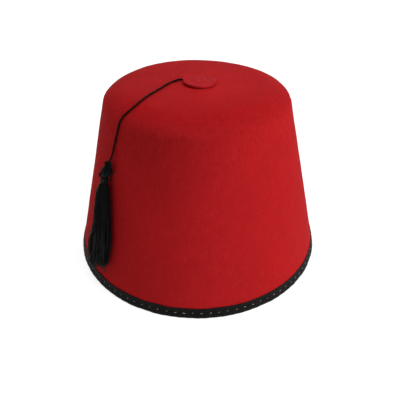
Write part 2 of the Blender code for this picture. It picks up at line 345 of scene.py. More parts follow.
# ================================================================ materials
class Nodes:
    """A short way to write a material's nodes."""

    def __init__(self, name):
        self.material = bpy.data.materials.new(name)
        self.material.use_nodes = True
        self.tree = self.material.node_tree
        self.tree.nodes.clear()
        self.out = self.tree.nodes.new("ShaderNodeOutputMaterial")
        self.shader = self.tree.nodes.new("ShaderNodeBsdfPrincipled")
        self.tree.links.new(self.shader.outputs[0], self.out.inputs["Surface"])
        self.coords = self.tree.nodes.new("ShaderNodeTexCoord").outputs["Object"]

    def put(self, socket, value):
        if isinstance(value, bpy.types.NodeSocket):
            self.tree.links.new(value, socket)
        else:
            socket.default_value = value

    def node(self, kind, settings=(), **inputs):
        n = self.tree.nodes.new(kind)
        for key, value in dict(settings).items():
            setattr(n, key, value)
        for key, value in inputs.items():
            self.put(n.inputs[int(key[1:]) if key[0] == "i" and key[1:].isdigit()
                              else key.replace("_", " ")], value)
        return n

    def math(self, kind, a, b=0.0, c=0.0, clamp=False):
        n = self.node("ShaderNodeMath", {"operation": kind, "use_clamp": clamp}, i0=a, i1=b, i2=c)
        return n.outputs[0]

    def spin(self, rotation=(0, 0, 0), scale=(1, 1, 1), vector=None):
        return self.node("ShaderNodeMapping", Vector=vector or self.coords,
                         Rotation=rotation, Scale=scale).outputs[0]

    def noise(self, vector, scale, detail=2.0, rough=0.5, twist=0.0):
        return self.node("ShaderNodeTexNoise", Vector=vector, Scale=scale, Detail=detail,
                         Roughness=rough, Distortion=twist).outputs["Fac"]

    def spread(self, value, low, high, to_low=0.0, to_high=1.0):
        return self.node("ShaderNodeMapRange", Value=value, From_Min=low, From_Max=high,
                         To_Min=to_low, To_Max=to_high).outputs[0]

    def mix(self, amount, a, b, kind="MIX"):
        n = self.node("ShaderNodeMix", {"data_type": "RGBA", "blend_type": kind})
        self.put(n.inputs[0], amount)
        self.put(n.inputs[6], a)
        self.put(n.inputs[7], b)
        return n.outputs[2]

    def bump(self, height, distance, strength=1.0, normal=None):
        n = self.node("ShaderNodeBump", Height=height, Distance=distance, Strength=strength)
        if normal is not None:
            self.put(n.inputs["Normal"], normal)
        return n.outputs[0]

    def set(self, **inputs):
        for key, value in inputs.items():
            self.put(self.shader.inputs[key.replace("_", " ")], value)


def felt_material(name, base, pale, deep, painted_shading=False):
    """Wool felt: matted fibres that lie every way, with soft unevenness."""
    m = Nodes(name)
    ways = (
        ((0.0, 0.0, 0.0), 1), ((0.0, 0.0, 1.05), 2), ((0.0, 0.0, 2.1), 3),
        ((0.0, 1.57, 0.0), 4), ((0.8, 1.1, 0.0), 5), ((-0.8, 1.1, 1.2), 6),
    )
    fine, coarse = None, None
    for turn, k in ways:
        place = m.spin(turn, (0.13, 1.0, 1.0))
        n = m.noise(place, 2300.0 + 130 * k, 1.0, 0.5, 0.6)
        ridge = m.math("SUBTRACT", 1.0, m.math("MULTIPLY", m.math("ABSOLUTE",
                       m.math("SUBTRACT", n, 0.5)), 7.0), clamp=True)
        fine = ridge if fine is None else m.math("MAXIMUM", fine, ridge)
        if k in (1, 3, 4, 6):
            place = m.spin(turn, (0.2, 1.0, 1.0))
            n = m.noise(place, 760.0 + 40 * k, 1.5, 0.55, 0.8)
            coarse = n if coarse is None else m.math("ADD", coarse, n)
    coarse = m.spread(coarse, 1.4, 2.6)
    grain = m.noise(m.coords, 1500.0, 2.0, 0.6)
    blotch = m.noise(m.coords, 210.0, 3.0, 0.55)
    cloud = m.noise(m.coords, 38.0, 2.0, 0.5)
    streak = m.noise(m.spin(scale=(1.0, 1.0, 0.16)), 420.0, 2.0, 0.5)
    dents = m.noise(m.spin(scale=(1.0, 1.0, 0.55)), 330.0, 2.5, 0.55, 0.5)
    wisps = m.noise(m.spin((0.35, 0.2, 0.0), (1.0, 1.0, 0.22)), 640.0, 1.5, 0.5, 0.8)
    patch = m.spread(m.noise(m.coords, 26.0, 1.0), 0.40, 0.62)
    height_z = m.node("ShaderNodeSeparateXYZ", Vector=m.coords).outputs[2]
    # below the blocked edge the wool is pulled up in longer fibres
    pulled = m.math("MULTIPLY", m.spread(height_z, 80 * MM, 112 * MM), m.spread(height_z, 129.0 * MM, 127.0 * MM))
    on_top = m.spread(height_z, 126 * MM, 128.6 * MM)
    fibres = m.noise(m.spin(scale=(1.0, 1.0, 0.30)), 480.0, 1.5, 0.55, 0.6)
    # and small pits are left between them, in clusters
    higher = m.node("ShaderNodeMapping", Vector=m.coords, Location=(-0.006, 0.0, -0.024)).outputs[0]
    cluster = m.spread(m.noise(higher, 42.0, 1.0), 0.41, 0.60)
    cluster = m.math("MULTIPLY", cluster, m.math("ADD", m.math("MULTIPLY_ADD", pulled, 0.88, 0.12),
                                                 m.math("MULTIPLY", on_top, 0.25)))
    pits = m.spread(m.noise(m.spin(scale=(1.0, 1.0, 0.45)), 470.0, 1.0, 0.5, 0.4), 0.60, 0.71)
    pits = m.math("MULTIPLY", pits, cluster)

    colour = m.mix(m.spread(cloud, 0.3, 0.7), [c * 0.955 for c in base[:3]] + [1],
                   [c * 1.045 for c in base[:3]] + [1])
    colour = m.mix(m.math("MULTIPLY", m.spread(blotch, 0.42, 0.30), 0.15), colour, deep)
    colour = m.mix(m.math("MULTIPLY", m.spread(blotch, 0.56, 0.74), 0.16), colour, pale)
    colour = m.mix(m.math("MULTIPLY", m.spread(coarse, 0.40, 0.15), 0.20), colour, deep)
    colour = m.mix(m.math("MULTIPLY", m.spread(wisps, 0.58, 0.72), m.math("MULTIPLY_ADD", patch, 0.19, 0.07)), colour, pale)
    colour = m.mix(m.math("MULTIPLY", m.spread(wisps, 0.42, 0.28), m.math("MULTIPLY_ADD", patch, 0.16, 0.06)), colour, deep)
    colour = m.mix(m.math("MULTIPLY", m.spread(fibres, 0.56, 0.70), m.math("MULTIPLY_ADD", pulled, 0.12, 0.03)), colour, pale)
    colour = m.mix(m.math("MULTIPLY", m.spread(fibres, 0.44, 0.30), m.math("MULTIPLY_ADD", pulled, 0.10, 0.03)), colour, deep)
    # painted shade: the pits are also darkened in colour, as shade in them
    colour = m.mix(m.math("MULTIPLY", pits, 0.34), colour, deep)
    colour = m.mix(m.math("MULTIPLY", fine, 0.07), colour, pale)
    colour = m.mix(m.math("MULTIPLY", m.spread(grain, 0.42, 0.26), 0.18), colour, deep)

    if painted_shading:
        # painted light and shade, broad changes of tone fitted to the lighting:
        # painted shade at the front left, painted light on the top and lower right
        on_side = m.spread(height_z, 127 * MM, 117 * MM)
        for place, reach, low, high, where in (((-0.016, -0.063, 0.115), 54 * MM, 0.83, 1.0, on_side),
                                               ((0.016, -0.004, 0.1295), 56 * MM, 1.15, 1.0, on_top),
                                               ((0.054, -0.062, 0.0360), 50 * MM, 1.035, 1.0, on_side)):
            away = m.node("ShaderNodeVectorMath", {"operation": "DISTANCE"}, i0=m.coords, i1=place).outputs["Value"]
            near = m.node("ShaderNodeMapRange", {"interpolation_type": "SMOOTHERSTEP"}, Value=away, From_Min=0.0,
                          From_Max=reach, To_Min=low, To_Max=high).outputs[0]
            near = m.math("MULTIPLY_ADD", m.math("SUBTRACT", near, 1.0), where, 1.0)
            colour = m.node("ShaderNodeVectorMath", {"operation": "SCALE"}, i0=colour, Scale=near).outputs[0]
        # and painted sheen: taken out at the front of the top for a purer red, painted in at the far right for a paler
        # one
        at = m.node("ShaderNodeSeparateXYZ", Vector=m.coords).outputs
        front = m.math("MULTIPLY", m.spread(height_z, 124.5 * MM, 128.2 * MM), m.spread(at[1], -8 * MM, -42 * MM))
        painted_sheen = m.spread(at[0], 60 * MM, 92 * MM)
        pure = m.math("ADD", m.math("MULTIPLY_ADD", front, -0.26, 1.0), m.math("MULTIPLY", painted_sheen, 0.20))
        pure = m.node("ShaderNodeCombineXYZ", X=1.0, Y=pure, Z=pure).outputs[0]
        colour = m.node("ShaderNodeVectorMath", {"operation": "MULTIPLY"}, i0=colour, i1=pure).outputs[0]

    height = m.math("ADD", m.math("MULTIPLY", coarse, 0.9), m.math("MULTIPLY", streak, 0.7))
    rough_by = m.math("ADD", m.math("MULTIPLY_ADD", patch, 0.6, 0.4),
                      m.math("MULTIPLY", m.math("ADD", pulled, on_top), 0.5))
    normal = m.bump(m.math("MULTIPLY", m.math("ADD", dents, m.math("MULTIPLY", fibres, 0.2)), rough_by), 0.27 * MM, 0.9)
    normal = m.bump(m.math("MULTIPLY", pits, -1.0), 0.12 * MM, 0.85, normal)
    normal = m.bump(height, 0.08 * MM, 0.75, normal)
    normal = m.bump(m.math("ADD", m.math("MULTIPLY", fine, 0.6), grain), 0.025 * MM, 0.7, normal)
    m.set(Base_Color=colour, Normal=normal,
          Roughness=m.spread(grain, 0.2, 0.8, 0.86, 1.0))
    m.set(Specular_IOR_Level=0.03, Sheen_Weight=0.008, Sheen_Roughness=0.55,
          Sheen_Tint=(1.0, 0.26, 0.22, 1.0))
    return m.material


def thread_material(name, dark, pale, rough=0.5, gloss=0.16, fuzz=0.04, tint=(0.8, 0.85, 0.8, 1.0)):
    """Dull spun thread; each thread has its own tone."""
    m = Nodes(name)
    tone = m.node("ShaderNodeAttribute", {"attribute_name": "tone"}).outputs["Fac"]
    lint = m.noise(m.coords, 2600.0, 2.0, 0.6)
    band = m.noise(m.coords, 260.0, 1.0, 0.5)
    amount = m.math("ADD", m.math("MULTIPLY", tone, 0.75), m.math("MULTIPLY", m.spread(band, 0.35, 0.7), 0.35))
    colour = m.mix(m.math("MULTIPLY", amount, m.spread(lint, 0.25, 0.7, 0.5, 1.0), clamp=True), dark, pale)
    m.set(Base_Color=colour, Normal=m.bump(lint, 0.05 * MM, 0.8),
          Roughness=m.spread(lint, 0.3, 0.7, rough - 0.08, rough + 0.12))
    m.set(Specular_IOR_Level=gloss, Sheen_Weight=fuzz, Sheen_Roughness=0.45, Sheen_Tint=tint)
    return m.material


def tape_material(name):
    """Black twill tape: slanted ribs, with crossing threads between them."""
    m = Nodes(name)
    uv = m.node("ShaderNodeUVMap", {"uv_map": "tape"}).outputs[0]
    parts = m.node("ShaderNodeSeparateXYZ", Vector=uv)
    u, v = parts.outputs[0], parts.outputs[1]          # millimetres round and across

    def wave(x):
        return m.math("MULTIPLY_ADD", m.math("SINE", m.math("MULTIPLY", x, TAU)), 0.5, 0.5)

    lint = m.noise(m.coords, 2400.0, 2.0, 0.6)
    wobble = m.math("MULTIPLY", m.math("SUBTRACT", m.noise(m.coords, 350.0, 1.0), 0.5), 0.35)
    rib = wave(m.math("ADD", m.math("MULTIPLY", m.math("ADD", u, v), 1.0 / 0.75), wobble))
    weft = wave(m.math("ADD", m.math("MULTIPLY", v, 1.0 / 0.42), wobble))
    weave = m.math("ADD", m.math("MULTIPLY", rib, 0.7), m.math("MULTIPLY", weft, 0.3))
    patch = m.noise(m.coords, 90.0, 2.0, 0.5)
    colour = m.mix(weave, (0.0024, 0.0020, 0.0018, 1), (0.0074, 0.0063, 0.0057, 1))
    colour = m.mix(m.math("MULTIPLY", m.spread(patch, 0.45, 0.75), 0.55), colour, (0.0078, 0.0084, 0.0066, 1))
    colour = m.mix(m.math("MULTIPLY", m.spread(lint, 0.62, 0.75), 0.30), colour, (0.030, 0.029, 0.028, 1))
    normal = m.bump(m.math("ADD", weave, m.math("MULTIPLY", lint, 0.3)), 0.14 * MM, 0.8)
    m.set(Base_Color=colour, Normal=normal, Roughness=m.spread(weave, 0.0, 1.0, 0.72, 0.55))
    m.set(Specular_IOR_Level=0.09, Sheen_Weight=0.006, Sheen_Roughness=0.4,
          Sheen_Tint=(1.0, 0.92, 0.88, 1.0))
    return m.material


RED = (0.356, 0.0084, 0.0103, 1.0)
PALE_RED = (0.47, 0.021, 0.024, 1.0)
DEEP_RED = (0.215, 0.0036, 0.0046, 1.0)
# the crown's felt carries the painted light and shade
crown_felt = felt_material("crown_felt", RED, PALE_RED, DEEP_RED, True)
button_felt = felt_material("button_felt", (0.380, 0.0118, 0.0165, 1.0), (0.50, 0.036, 0.046, 1.0), DEEP_RED)
tape_look = tape_material("binding_tape")
cord_look = thread_material("cord_thread", (0.0080, 0.0011, 0.0008, 1), (0.0260, 0.0036, 0.0024, 1), 0.55, 0.045, 0.004, (1.0, 0.5, 0.4, 1.0))
tassel_look = thread_material("tassel_thread", (0.0010, 0.0010, 0.0010, 1), (0.0040, 0.0036, 0.0038, 1), 0.50, 0.075, 0.012)
winding_look = thread_material("tassel_winding", (0.0011, 0.0011, 0.0011, 1), (0.0042, 0.0044, 0.0042, 1), 0.46, 0.085, 0.010)
glint_look = thread_material("tassel_glint", (0.010, 0.0105, 0.010, 1), (0.050, 0.053, 0.048, 1), 0.42, 0.2, 0.02)
seam_look = thread_material("seam_thread", (0.0040, 0.0040, 0.0040, 1), (0.0110, 0.0115, 0.0110, 1), 0.45, 0.15, 0.02)
# the under thread's pale colour is a painted glint
seam_glint_paint = thread_material("seam_thread_painted_glint", (0.13, 0.137, 0.108, 1), (0.42, 0.43, 0.36, 1), 0.55, 0.2, 0.04)


# ================================================================ camera
TILT, ROLL = 0.6233960, -0.0007658
right = Vector((1, 0, 0))
above = Vector((0, math.sin(TILT), math.cos(TILT)))
ahead = Vector((0, math.cos(TILT), -math.sin(TILT)))
cam_right = math.cos(ROLL) * right + math.sin(ROLL) * above
cam_up = -math.sin(ROLL) * right + math.cos(ROLL) * above
lens = bpy.data.cameras.new("camera")
lens.sensor_width = 36.0
lens.lens = 39.2204
lens.clip_start = 0.01
lens.clip_end = 50.0
camera = bpy.data.objects.new("camera", lens)
camera.matrix_world = (Matrix.Translation((0.0019013, -0.2885946, 0.2381535))
                       @ Matrix((cam_right, cam_up, -ahead)).transposed().to_4x4())
bpy.context.scene.collection.objects.link(camera)
bpy.context.scene.camera = camera


# ================================================================ cord
rng = np.random.default_rng(21)
rows = catmull(CORD_ROUTE, 46)
felt_at = felt_offset(rows[:, 0] * MM, np.radians(rows[:, 1]))
lowered = rows[:, 2] * MM - 0.22 * MM + felt_at * (rows[:, 0] < 86)
route = on_crown(rows[:, 0] * MM, np.radians(rows[:, 1]), lowered)
top_z = float(on_line(0.0)[0][1])
under = np.array([[-5.0 * MM, 8.0 * MM, top_z + 0.62 * MM],
                  [-7.6 * MM, 6.9 * MM, top_z + 0.66 * MM]])
az = math.radians(SKIRT_AZIMUTH)
inside = on_crown(np.array([94.4, 96.4]) * MM, np.radians([-139.2, -139.35]), np.array([3.40, 3.75]) * MM)
route = np.vstack([under, route, inside])
route = catmull(route, 430)

# three plies laid round each other, over the cord's own line
step = np.concatenate([[0], np.cumsum(np.linalg.norm(np.diff(route, axis=0), axis=1))])
tangent = unit(np.gradient(route, axis=0))
u = unit(np.cross(tangent[0], [0, 0, 1]))
frames = []
for t in tangent:
    u = unit(u - np.dot(u, t) * t)
    frames.append((u, np.cross(t, u)))
fu, fv = np.array([f[0] for f in frames]), np.array([f[1] for f in frames])
lay = 4.3 * MM
uneven = 1 + 0.05 * np.sin(step / (9 * MM) * TAU) + 0.04 * np.sin(step / (3.7 * MM) * TAU + 1)
strands, radii = [], []
for ply in range(3):
    turn = step / lay * TAU + ply * TAU / 3 + 0.5 * np.sin(step / (21 * MM) * TAU)
    off = 0.335 * MM * uneven
    strands.append(route + (off * np.cos(turn))[:, None] * fu + (off * np.sin(turn))[:, None] * fv)
    radii.append(0.345 * MM * uneven)
groups = [(np.array(strands), np.array(radii), 10, [0.35, 0.6, 0.85])]
# a few fibres stand off it
hairs, hair_radii = [], []
for _ in range(46):
    k = rng.integers(12, len(route) - 12)
    a = rng.uniform(0, TAU)
    side = math.cos(a) * fu[k] + math.sin(a) * fv[k]
    if side @ unit(route[k] * [1, 1, 0.2]) < -0.4:
        side = -side
    lean = rng.uniform(-1, 1)
    length = rng.uniform(0.5, 1.1) * MM
    q = np.linspace(0, 1, 5)[:, None]
    hairs.append(route[k] + side * (0.55 * MM + q * length * 0.7)
                 + tangent[k] * lean * length * q ** 1.5)
    hair_radii.append(np.linspace(0.045, 0.02, 5) * MM)
groups.append((np.array(hairs), np.array(hair_radii), 4, rng.uniform(0.4, 1, len(hairs))))
twisted_cord = thread_piece("twisted_cord", groups, cord_look)
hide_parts("tassel_cord")
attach(twisted_cord, "root")


# ================================================================ crown
AROUND = 320
outer_at = np.concatenate([np.linspace(0, 42, 34)[:-1], np.linspace(42, 80, 50)[:-1],
                           np.linspace(80, RIM_AT / MM - 0.75, 78)]) * MM
inner_at = np.concatenate([np.linspace(0, 42, 14)[:-1], np.linspace(42, 80, 24)[:-1],
                           np.linspace(80, RIM_AT / MM - 0.75, 40)]) * MM
azimuths = np.arange(AROUND) * TAU / AROUND


def shell_rings(distances, depth):
    s = distances[1:, None] * np.ones(AROUND)
    a = azimuths[None, :] * np.ones((len(distances) - 1, 1))
    return on_crown(s, a, felt_offset(s, a) - depth)


outer_rings = shell_rings(outer_at, 0.0)
inner_rings = shell_rings(inner_at, FELT)
# the cut edge at the foot is level and slightly rounded
foot_mid = (outer_rings[-1] + inner_rings[-1]) / 2
foot_mid[:, 2] = 0.85 * MM
outer_rings[-1][:, 2] = 0.95 * MM
inner_rings[-1][:, 2] = 0.95 * MM
verts = [np.array([[0, 0, on_line(0.0)[0][1]]]), outer_rings.reshape(-1, 3), foot_mid,
         inner_rings[::-1].reshape(-1, 3), np.array([[0, 0, on_line(0.0)[0][1] - FELT]])]
verts = np.vstack(verts)
rings = len(outer_rings) + 1 + len(inner_rings)
faces = []
j = np.arange(AROUND)
j2 = (j + 1) % AROUND
faces += [(0, 1 + a, 1 + b) for a, b in zip(j, j2)]
for k in range(rings - 1):
    a, b = 1 + k * AROUND, 1 + (k + 1) * AROUND
    faces += list(zip(a + j, b + j, b + j2, a + j2))
last = 1 + (rings - 1) * AROUND
faces += [(len(verts) - 1, last + b, last + a) for a, b in zip(j, j2)]
crown_shell = add_mesh("crown_shell", verts, faces, crown_felt)
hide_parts("crown")
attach(crown_shell, "root")


# ================================================================ rim binding
STITCHES = 98
BAND = 784                       # 8 facets to a stitch
phi = np.arange(BAND) * TAU / BAND
pull = np.cos(phi * STITCHES)    # 1 at a needle hole, -1 half way between two
edge_wave = Waves(31, 10, 9 * MM, 30 * MM)
puff_wave = Waves(32, 10, 8 * MM, 22 * MM)
ring = np.stack([np.cos(phi), np.sin(phi), 0 * phi], -1)
edge_rise = 0.16 * MM * edge_wave(ring * 95 * MM)
edge_rise_in = 0.13 * MM * edge_wave(ring * 92 * MM + 1.0)
puffing = 0.11 * MM * puff_wave(ring * 95 * MM)
TAPE = 0.44 * MM
HUG = 0.04 * MM
SEAM_HEIGHT = 4.25 * MM


def beside_wall(z, off):
    return RIM_RADIUS - z * math.tan(LEAN) + off / math.cos(LEAN)


def band_surface(off_base, out_leg, z):
    """Radius of the tape's face at height z, for each azimuth: pulled in at
    the seam, full above and below it."""
    depth = bell(z, SEAM_HEIGHT, 1.0 * MM) * (0.20 * MM + 0.10 * MM * pull) \
        - bell(z, 6.3 * MM, 1.0 * MM) * 0.05 * MM \
        - bell(z, 2.0 * MM, 1.2 * MM) * (0.14 * MM - 0.07 * MM * pull)
    depth = depth - puffing * bell(z, 3 * MM, 2.5 * MM)
    return beside_wall(z, off_base - depth if out_leg else off_base + depth * 0.8)


# cross-section: outside leg downwards, fold, inside leg upwards, then back
# up the tape's inner face
section = []
heights = np.array([7.92, 7.76, 7.4, 6.9, 6.4, 5.9, 5.4, 4.95, 4.6, 4.25, 3.9, 3.55, 3.1, 2.6, 2.1, 1.65, 1.25]) * MM
for z in heights:
    zz = z + edge_rise * smooth(z, 4.6 * MM, 7.8 * MM)
    section.append((band_surface(HUG + TAPE, True, zz) - (0.10 * MM if z > 7.8 * MM else 0.0), zz))
fold_r_out = band_surface(HUG + TAPE, True, 1.25 * MM)
in_off = -(FELT + HUG + TAPE)
fold_r_in = band_surface(in_off, False, 1.25 * MM)
for a in np.radians([20, 42, 64, 80]):
    r = 1.25 * MM
    section.append((fold_r_out + 0.18 * MM - r + r * np.cos(a) + 0 * phi, r - r * np.sin(a) + 0 * phi))
for q in (0.3, 0.5, 0.7):
    a, b = section[-1][0], fold_r_in - 0.18 * MM + 1.25 * MM
    section.append((a * (1 - q) + b * q, np.zeros(BAND)))
for a in np.radians([80, 64, 42, 20]):
    r = 1.25 * MM
    section.append((fold_r_in - 0.18 * MM + r - r * np.cos(a) + 0 * phi, r - r * np.sin(a) + 0 * phi))
heights_in = np.array([1.25, 1.8, 2.4, 3.0, 3.6, 4.0, 4.4, 4.9, 5.4, 6.0, 6.6, 7.1, 7.34]) * MM
for z in heights_in:
    zz = z + edge_rise_in * smooth(z, 4.6 * MM, 7.2 * MM)
    section.append((band_surface(in_off, False, zz) + (0.10 * MM if z > 7.3 * MM else 0.0), zz))
outline_count = len(section)
for z in (7.26, 5.0, 2.6, 0.72):
    zz = z * MM + edge_rise_in * smooth(z, 4.6, 7.2)       # z in millimetres here
    section.append((beside_wall(zz, -(FELT + HUG)) + 0 * phi, zz + 0 * phi))
for z in (0.72, 2.6, 5.2, 7.82):
    zz = z * MM + edge_rise * smooth(z, 4.6, 7.8)
    section.append((beside_wall(zz, HUG) + 0 * phi, zz + 0 * phi))
rr = np.array([np.broadcast_to(s[0], (BAND,)) for s in section])
zz = np.array([np.broadcast_to(s[1], (BAND,)) for s in section])
verts = np.stack([rr * np.cos(phi), rr * np.sin(phi), zz], -1).reshape(-1, 3)
rows_n = len(section)
k = np.arange(rows_n)[:, None]
k2 = (k + 1) % rows_n
jj = np.arange(BAND)[None, :]
jj2 = (jj + 1) % BAND
quads = np.stack([k * BAND + jj, k2 * BAND + jj, k2 * BAND + jj2, k * BAND + jj2], -1).reshape(-1, 4)
rim_tape = add_mesh("rim_tape", verts, quads, tape_look)
# millimetres round and across, for the weave
across = np.concatenate([[0], np.cumsum(np.hypot(np.diff(rr[:, 0]), np.diff(zz[:, 0])))]) / MM
across_end = across[-1] + float(np.hypot(rr[0, 0] - rr[-1, 0], zz[0, 0] - zz[-1, 0])) / MM
round_total = 0.75 * 800
layer = rim_tape.data.uv_layers.new(name="tape")
loop_vert = np.empty(len(rim_tape.data.loops), np.int32)
rim_tape.data.loops.foreach_get("vertex_index", loop_vert)
row, col = loop_vert // BAND, loop_vert % BAND
row4, col4 = row.reshape(-1, 4), col.reshape(-1, 4)
v_mm = across[row4]
wrap_row = (row4.max(1) == rows_n - 1) & (row4.min(1) == 0)
v_mm = np.where(wrap_row[:, None] & (row4 == 0), across_end, v_mm)
u_mm = col4 * (round_total / BAND)
wrap_col = (col4.max(1) == BAND - 1) & (col4.min(1) == 0)
u_mm = np.where(wrap_col[:, None] & (col4 == 0), round_total, u_mm)
layer.data.foreach_set("uv", np.stack([u_mm, v_mm], -1).astype(np.float32).ravel())
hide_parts("rim_binding")
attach(rim_tape, "root")

# the seam: a dark thread outside from hole to hole, with an under thread
# drawn up in each hole and running along the inside, pale as a painted glint
rng = np.random.default_rng(33)


def seam_point(a, z, lift, outside=True):
    """Point `lift` off the tape's face at azimuth a."""
    pull_here = np.cos(a * STITCHES)
    depth = bell(z, SEAM_HEIGHT, 1.0 * MM) * (0.20 * MM + 0.10 * MM * pull_here) \
        - bell(z, 6.3 * MM, 1.0 * MM) * 0.05 * MM \
        - bell(z, 2.0 * MM, 1.2 * MM) * (0.14 * MM - 0.07 * MM * pull_here)
    if outside:
        off = HUG + TAPE - depth + lift
    else:
        off = in_off + depth * 0.8 - lift
    r = RIM_RADIUS - z * math.tan(LEAN) + off / math.cos(LEAN)
    return np.stack([r * np.cos(a), r * np.sin(a), z + 0 * a], -1)


stitch_paths, loop_paths, inside_paths = [], [], []
q = np.linspace(0, 1, 13)
for i in range(STITCHES):
    a0, a1 = i * TAU / STITCHES, (i + 1) * TAU / STITCHES
    drift0, drift1 = rng.normal(0, 0.12, 2) * MM
    a = a0 + (a1 - a0) * (0.05 + 0.90 * q)
    lift = (0.16 - 0.75 * (1 - smooth(np.minimum(q, 1 - q), 0.0, 0.16))) * MM
    z = SEAM_HEIGHT + drift0 * (1 - q) + drift1 * q + 0.10 * MM * np.sin(q * math.pi) * rng.normal()
    stitch_paths.append(seam_point(a, z, lift))
    a = a0 + (a1 - a0) * (0.06 + 0.88 * q)
    lift = (0.15 - 0.75 * (1 - smooth(np.minimum(q, 1 - q), 0.0, 0.14))) * MM
    inside_paths.append(seam_point(a, SEAM_HEIGHT + rng.normal(0, 0.1) * MM + 0 * a, lift, False))
    # the little loop in the hole
    g = np.linspace(-1, 1, 9)
    slant = rng.uniform(-0.2, 1.2)
    glint_scale = 0.80 + 0.28 * math.cos(2 * (a0 + 1.05))       # the painted glints are made smaller and sunk deeper at some azimuths
    size = rng.uniform(0.42, 0.78) * MM * glint_scale
    if rng.uniform() < 0.22:
        size *= 1.5
    here = a0 + rng.normal(0, 0.15) * MM / RIM_RADIUS
    a = here + g * size * math.cos(slant) / RIM_RADIUS
    z = SEAM_HEIGHT + g * size * math.sin(slant) + rng.normal(0, 0.08) * MM
    lift = (0.30 - 0.62 * g ** 4) * MM * rng.uniform(0.7, 1.1) - 0.14 * MM * (1.08 - glint_scale)
    loop_paths.append(seam_point(a, z, lift))
radii = np.full((STITCHES, 13), 0.15 * MM)
rim_stitches = thread_piece("rim_stitches", [(stitch_paths, radii, 7, rng.uniform(0.1, 0.7, STITCHES))], seam_look)
rim_under_thread_glint = thread_piece("rim_under_thread_glint", [
    (loop_paths, np.full((STITCHES, 9), 0.185 * MM), 7, rng.uniform(0.0, 1.0, STITCHES)),
    (inside_paths, radii, 7, rng.uniform(0.0, 0.5, STITCHES)),
], seam_glint_paint)
for o in (rim_stitches, rim_under_thread_glint):
    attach(o, "root")


# ================================================================ button
# a pressed felt disc with a raised middle, a faint ring near its rim and a
# cut edge
BUTTON_LOW = top_z + 0.10 * MM
face_r = np.array([0, 0.6, 1.1, 1.6, 2.1, 2.7, 3.3, 3.9, 4.4, 4.9, 5.4, 6.0, 6.8, 7.6, 8.2, 8.7, 9.1,
                   9.5, 9.9, 10.25, 10.6, 10.9, 11.1, 11.22])
face_z = np.array([1.84, 1.86, 1.96, 2.09, 2.19, 2.23, 2.19, 2.07, 1.91, 1.77, 1.67, 1.64, 1.68, 1.76, 1.77, 1.73, 1.71,
                   1.75, 1.82, 1.86, 1.83, 1.72, 1.55, 1.34])
edge_r = np.array([11.25, 11.22, 11.10, 10.85])
edge_z = np.array([1.00, 0.58, 0.26, 0.02])
low_r = np.array([10.0, 8.0, 5.0, 2.0, 0])
low_z = np.array([0.0, 0.0, 0.0, 0.0, 0.0])
br = np.concatenate([face_r, edge_r, low_r]) * MM
bz = np.concatenate([face_z, edge_z, low_z]) * MM
SPOKES = 144
ba = np.arange(SPOKES) * TAU / SPOKES
uneven_face = Waves(41, 24, 2.2 * MM, 7 * MM)
uneven_edge = Waves(42, 14, 5 * MM, 16 * MM)
lift_at = math.atan2(6.5, -7.9 - 1.6)


def button_point(r, z, a):
    edge = smooth(r, 8.0 * MM, 11.25 * MM)
    oval = 1 + 0.16 * np.cos(a) ** 2 * (1 - smooth(r, 3.5 * MM, 9 * MM))
    rad = r * oval
    x, y = rad * np.cos(a), rad * np.sin(a)
    p = np.stack([x, y, 0 * x], -1)
    rad_more = 1 + edge * 0.012 * uneven_edge(p)
    x, y = x * rad_more, y * rad_more
    away = (a - lift_at + math.pi) % TAU - math.pi
    over_cord = np.exp(-(away * r / (3.2 * MM)) ** 2 / 2) * smooth(r, 3.5 * MM, 11.0 * MM)
    h = z + 0.060 * MM * uneven_face(p) * smooth(z, 0.2 * MM, 0.9 * MM)
    h = h + over_cord * 0.95 * MM
    h = h - x * math.tan(math.radians(2.6)) * smooth(z, 0.0, 1.3 * MM) + 0.05 * MM
    # it lies thinner on the right, and its front edge stands a little clear
    h = h + 0.05 * MM * smooth(-y, 5 * MM, 11.3 * MM)
    return np.stack([x + BUTTON_OFFSET, y, BUTTON_LOW + h], -1)


rows_b = [button_point(r + 0 * ba, z + 0 * ba, ba) for r, z in zip(br[1:-1], bz[1:-1])]
first = button_point(np.array([0.0]), np.array([bz[0]]), np.array([0.0]))
final = button_point(np.array([0.0]), np.array([bz[-1]]), np.array([0.0]))
verts = np.vstack([first] + rows_b + [final])
j = np.arange(SPOKES)
j2 = (j + 1) % SPOKES
faces = [(0, 1 + a, 1 + b) for a, b in zip(j, j2)]
for k in range(len(rows_b) - 1):
    a, b = 1 + k * SPOKES, 1 + (k + 1) * SPOKES
    faces += list(zip(a + j, b + j, b + j2, a + j2))
last = 1 + (len(rows_b) - 1) * SPOKES
faces += [(len(verts) - 1, last + b, last + a) for a, b in zip(j, j2)]
felt_button = add_mesh("felt_button", verts, faces, button_felt)
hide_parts("top_button")
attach(felt_button, "root")


# ================================================================ tassel
head_az = math.radians(HEAD_AZIMUTH)
out, side, up = wall_frame(TASSEL_TOP, head_az)
lean = math.radians(HEAD_LEAN)
side, up = (side * math.cos(lean) - up * math.sin(lean),
            up * math.cos(lean) + side * math.sin(lean))
hang = on_crown(np.array(TASSEL_TOP), head_az, np.array(TASSEL_LIFT))


def in_tassel(across, depth, down):
    """A point beside the tassel's axis: sideways, outwards and down."""
    across, depth, down = np.broadcast_arrays(across, depth, down)
    return (hang + across[..., None] * TASSEL_WIDER * side + depth[..., None] * TASSEL_FLATTER * out
            - down[..., None] * up)


# ---------------------------------------------------------------- head
def sway(down):
    """The folded threads' top stands a little to the right of the neck."""
    return 0.95 * MM * (1 - smooth(down, 3.0 * MM, 9.0 * MM))


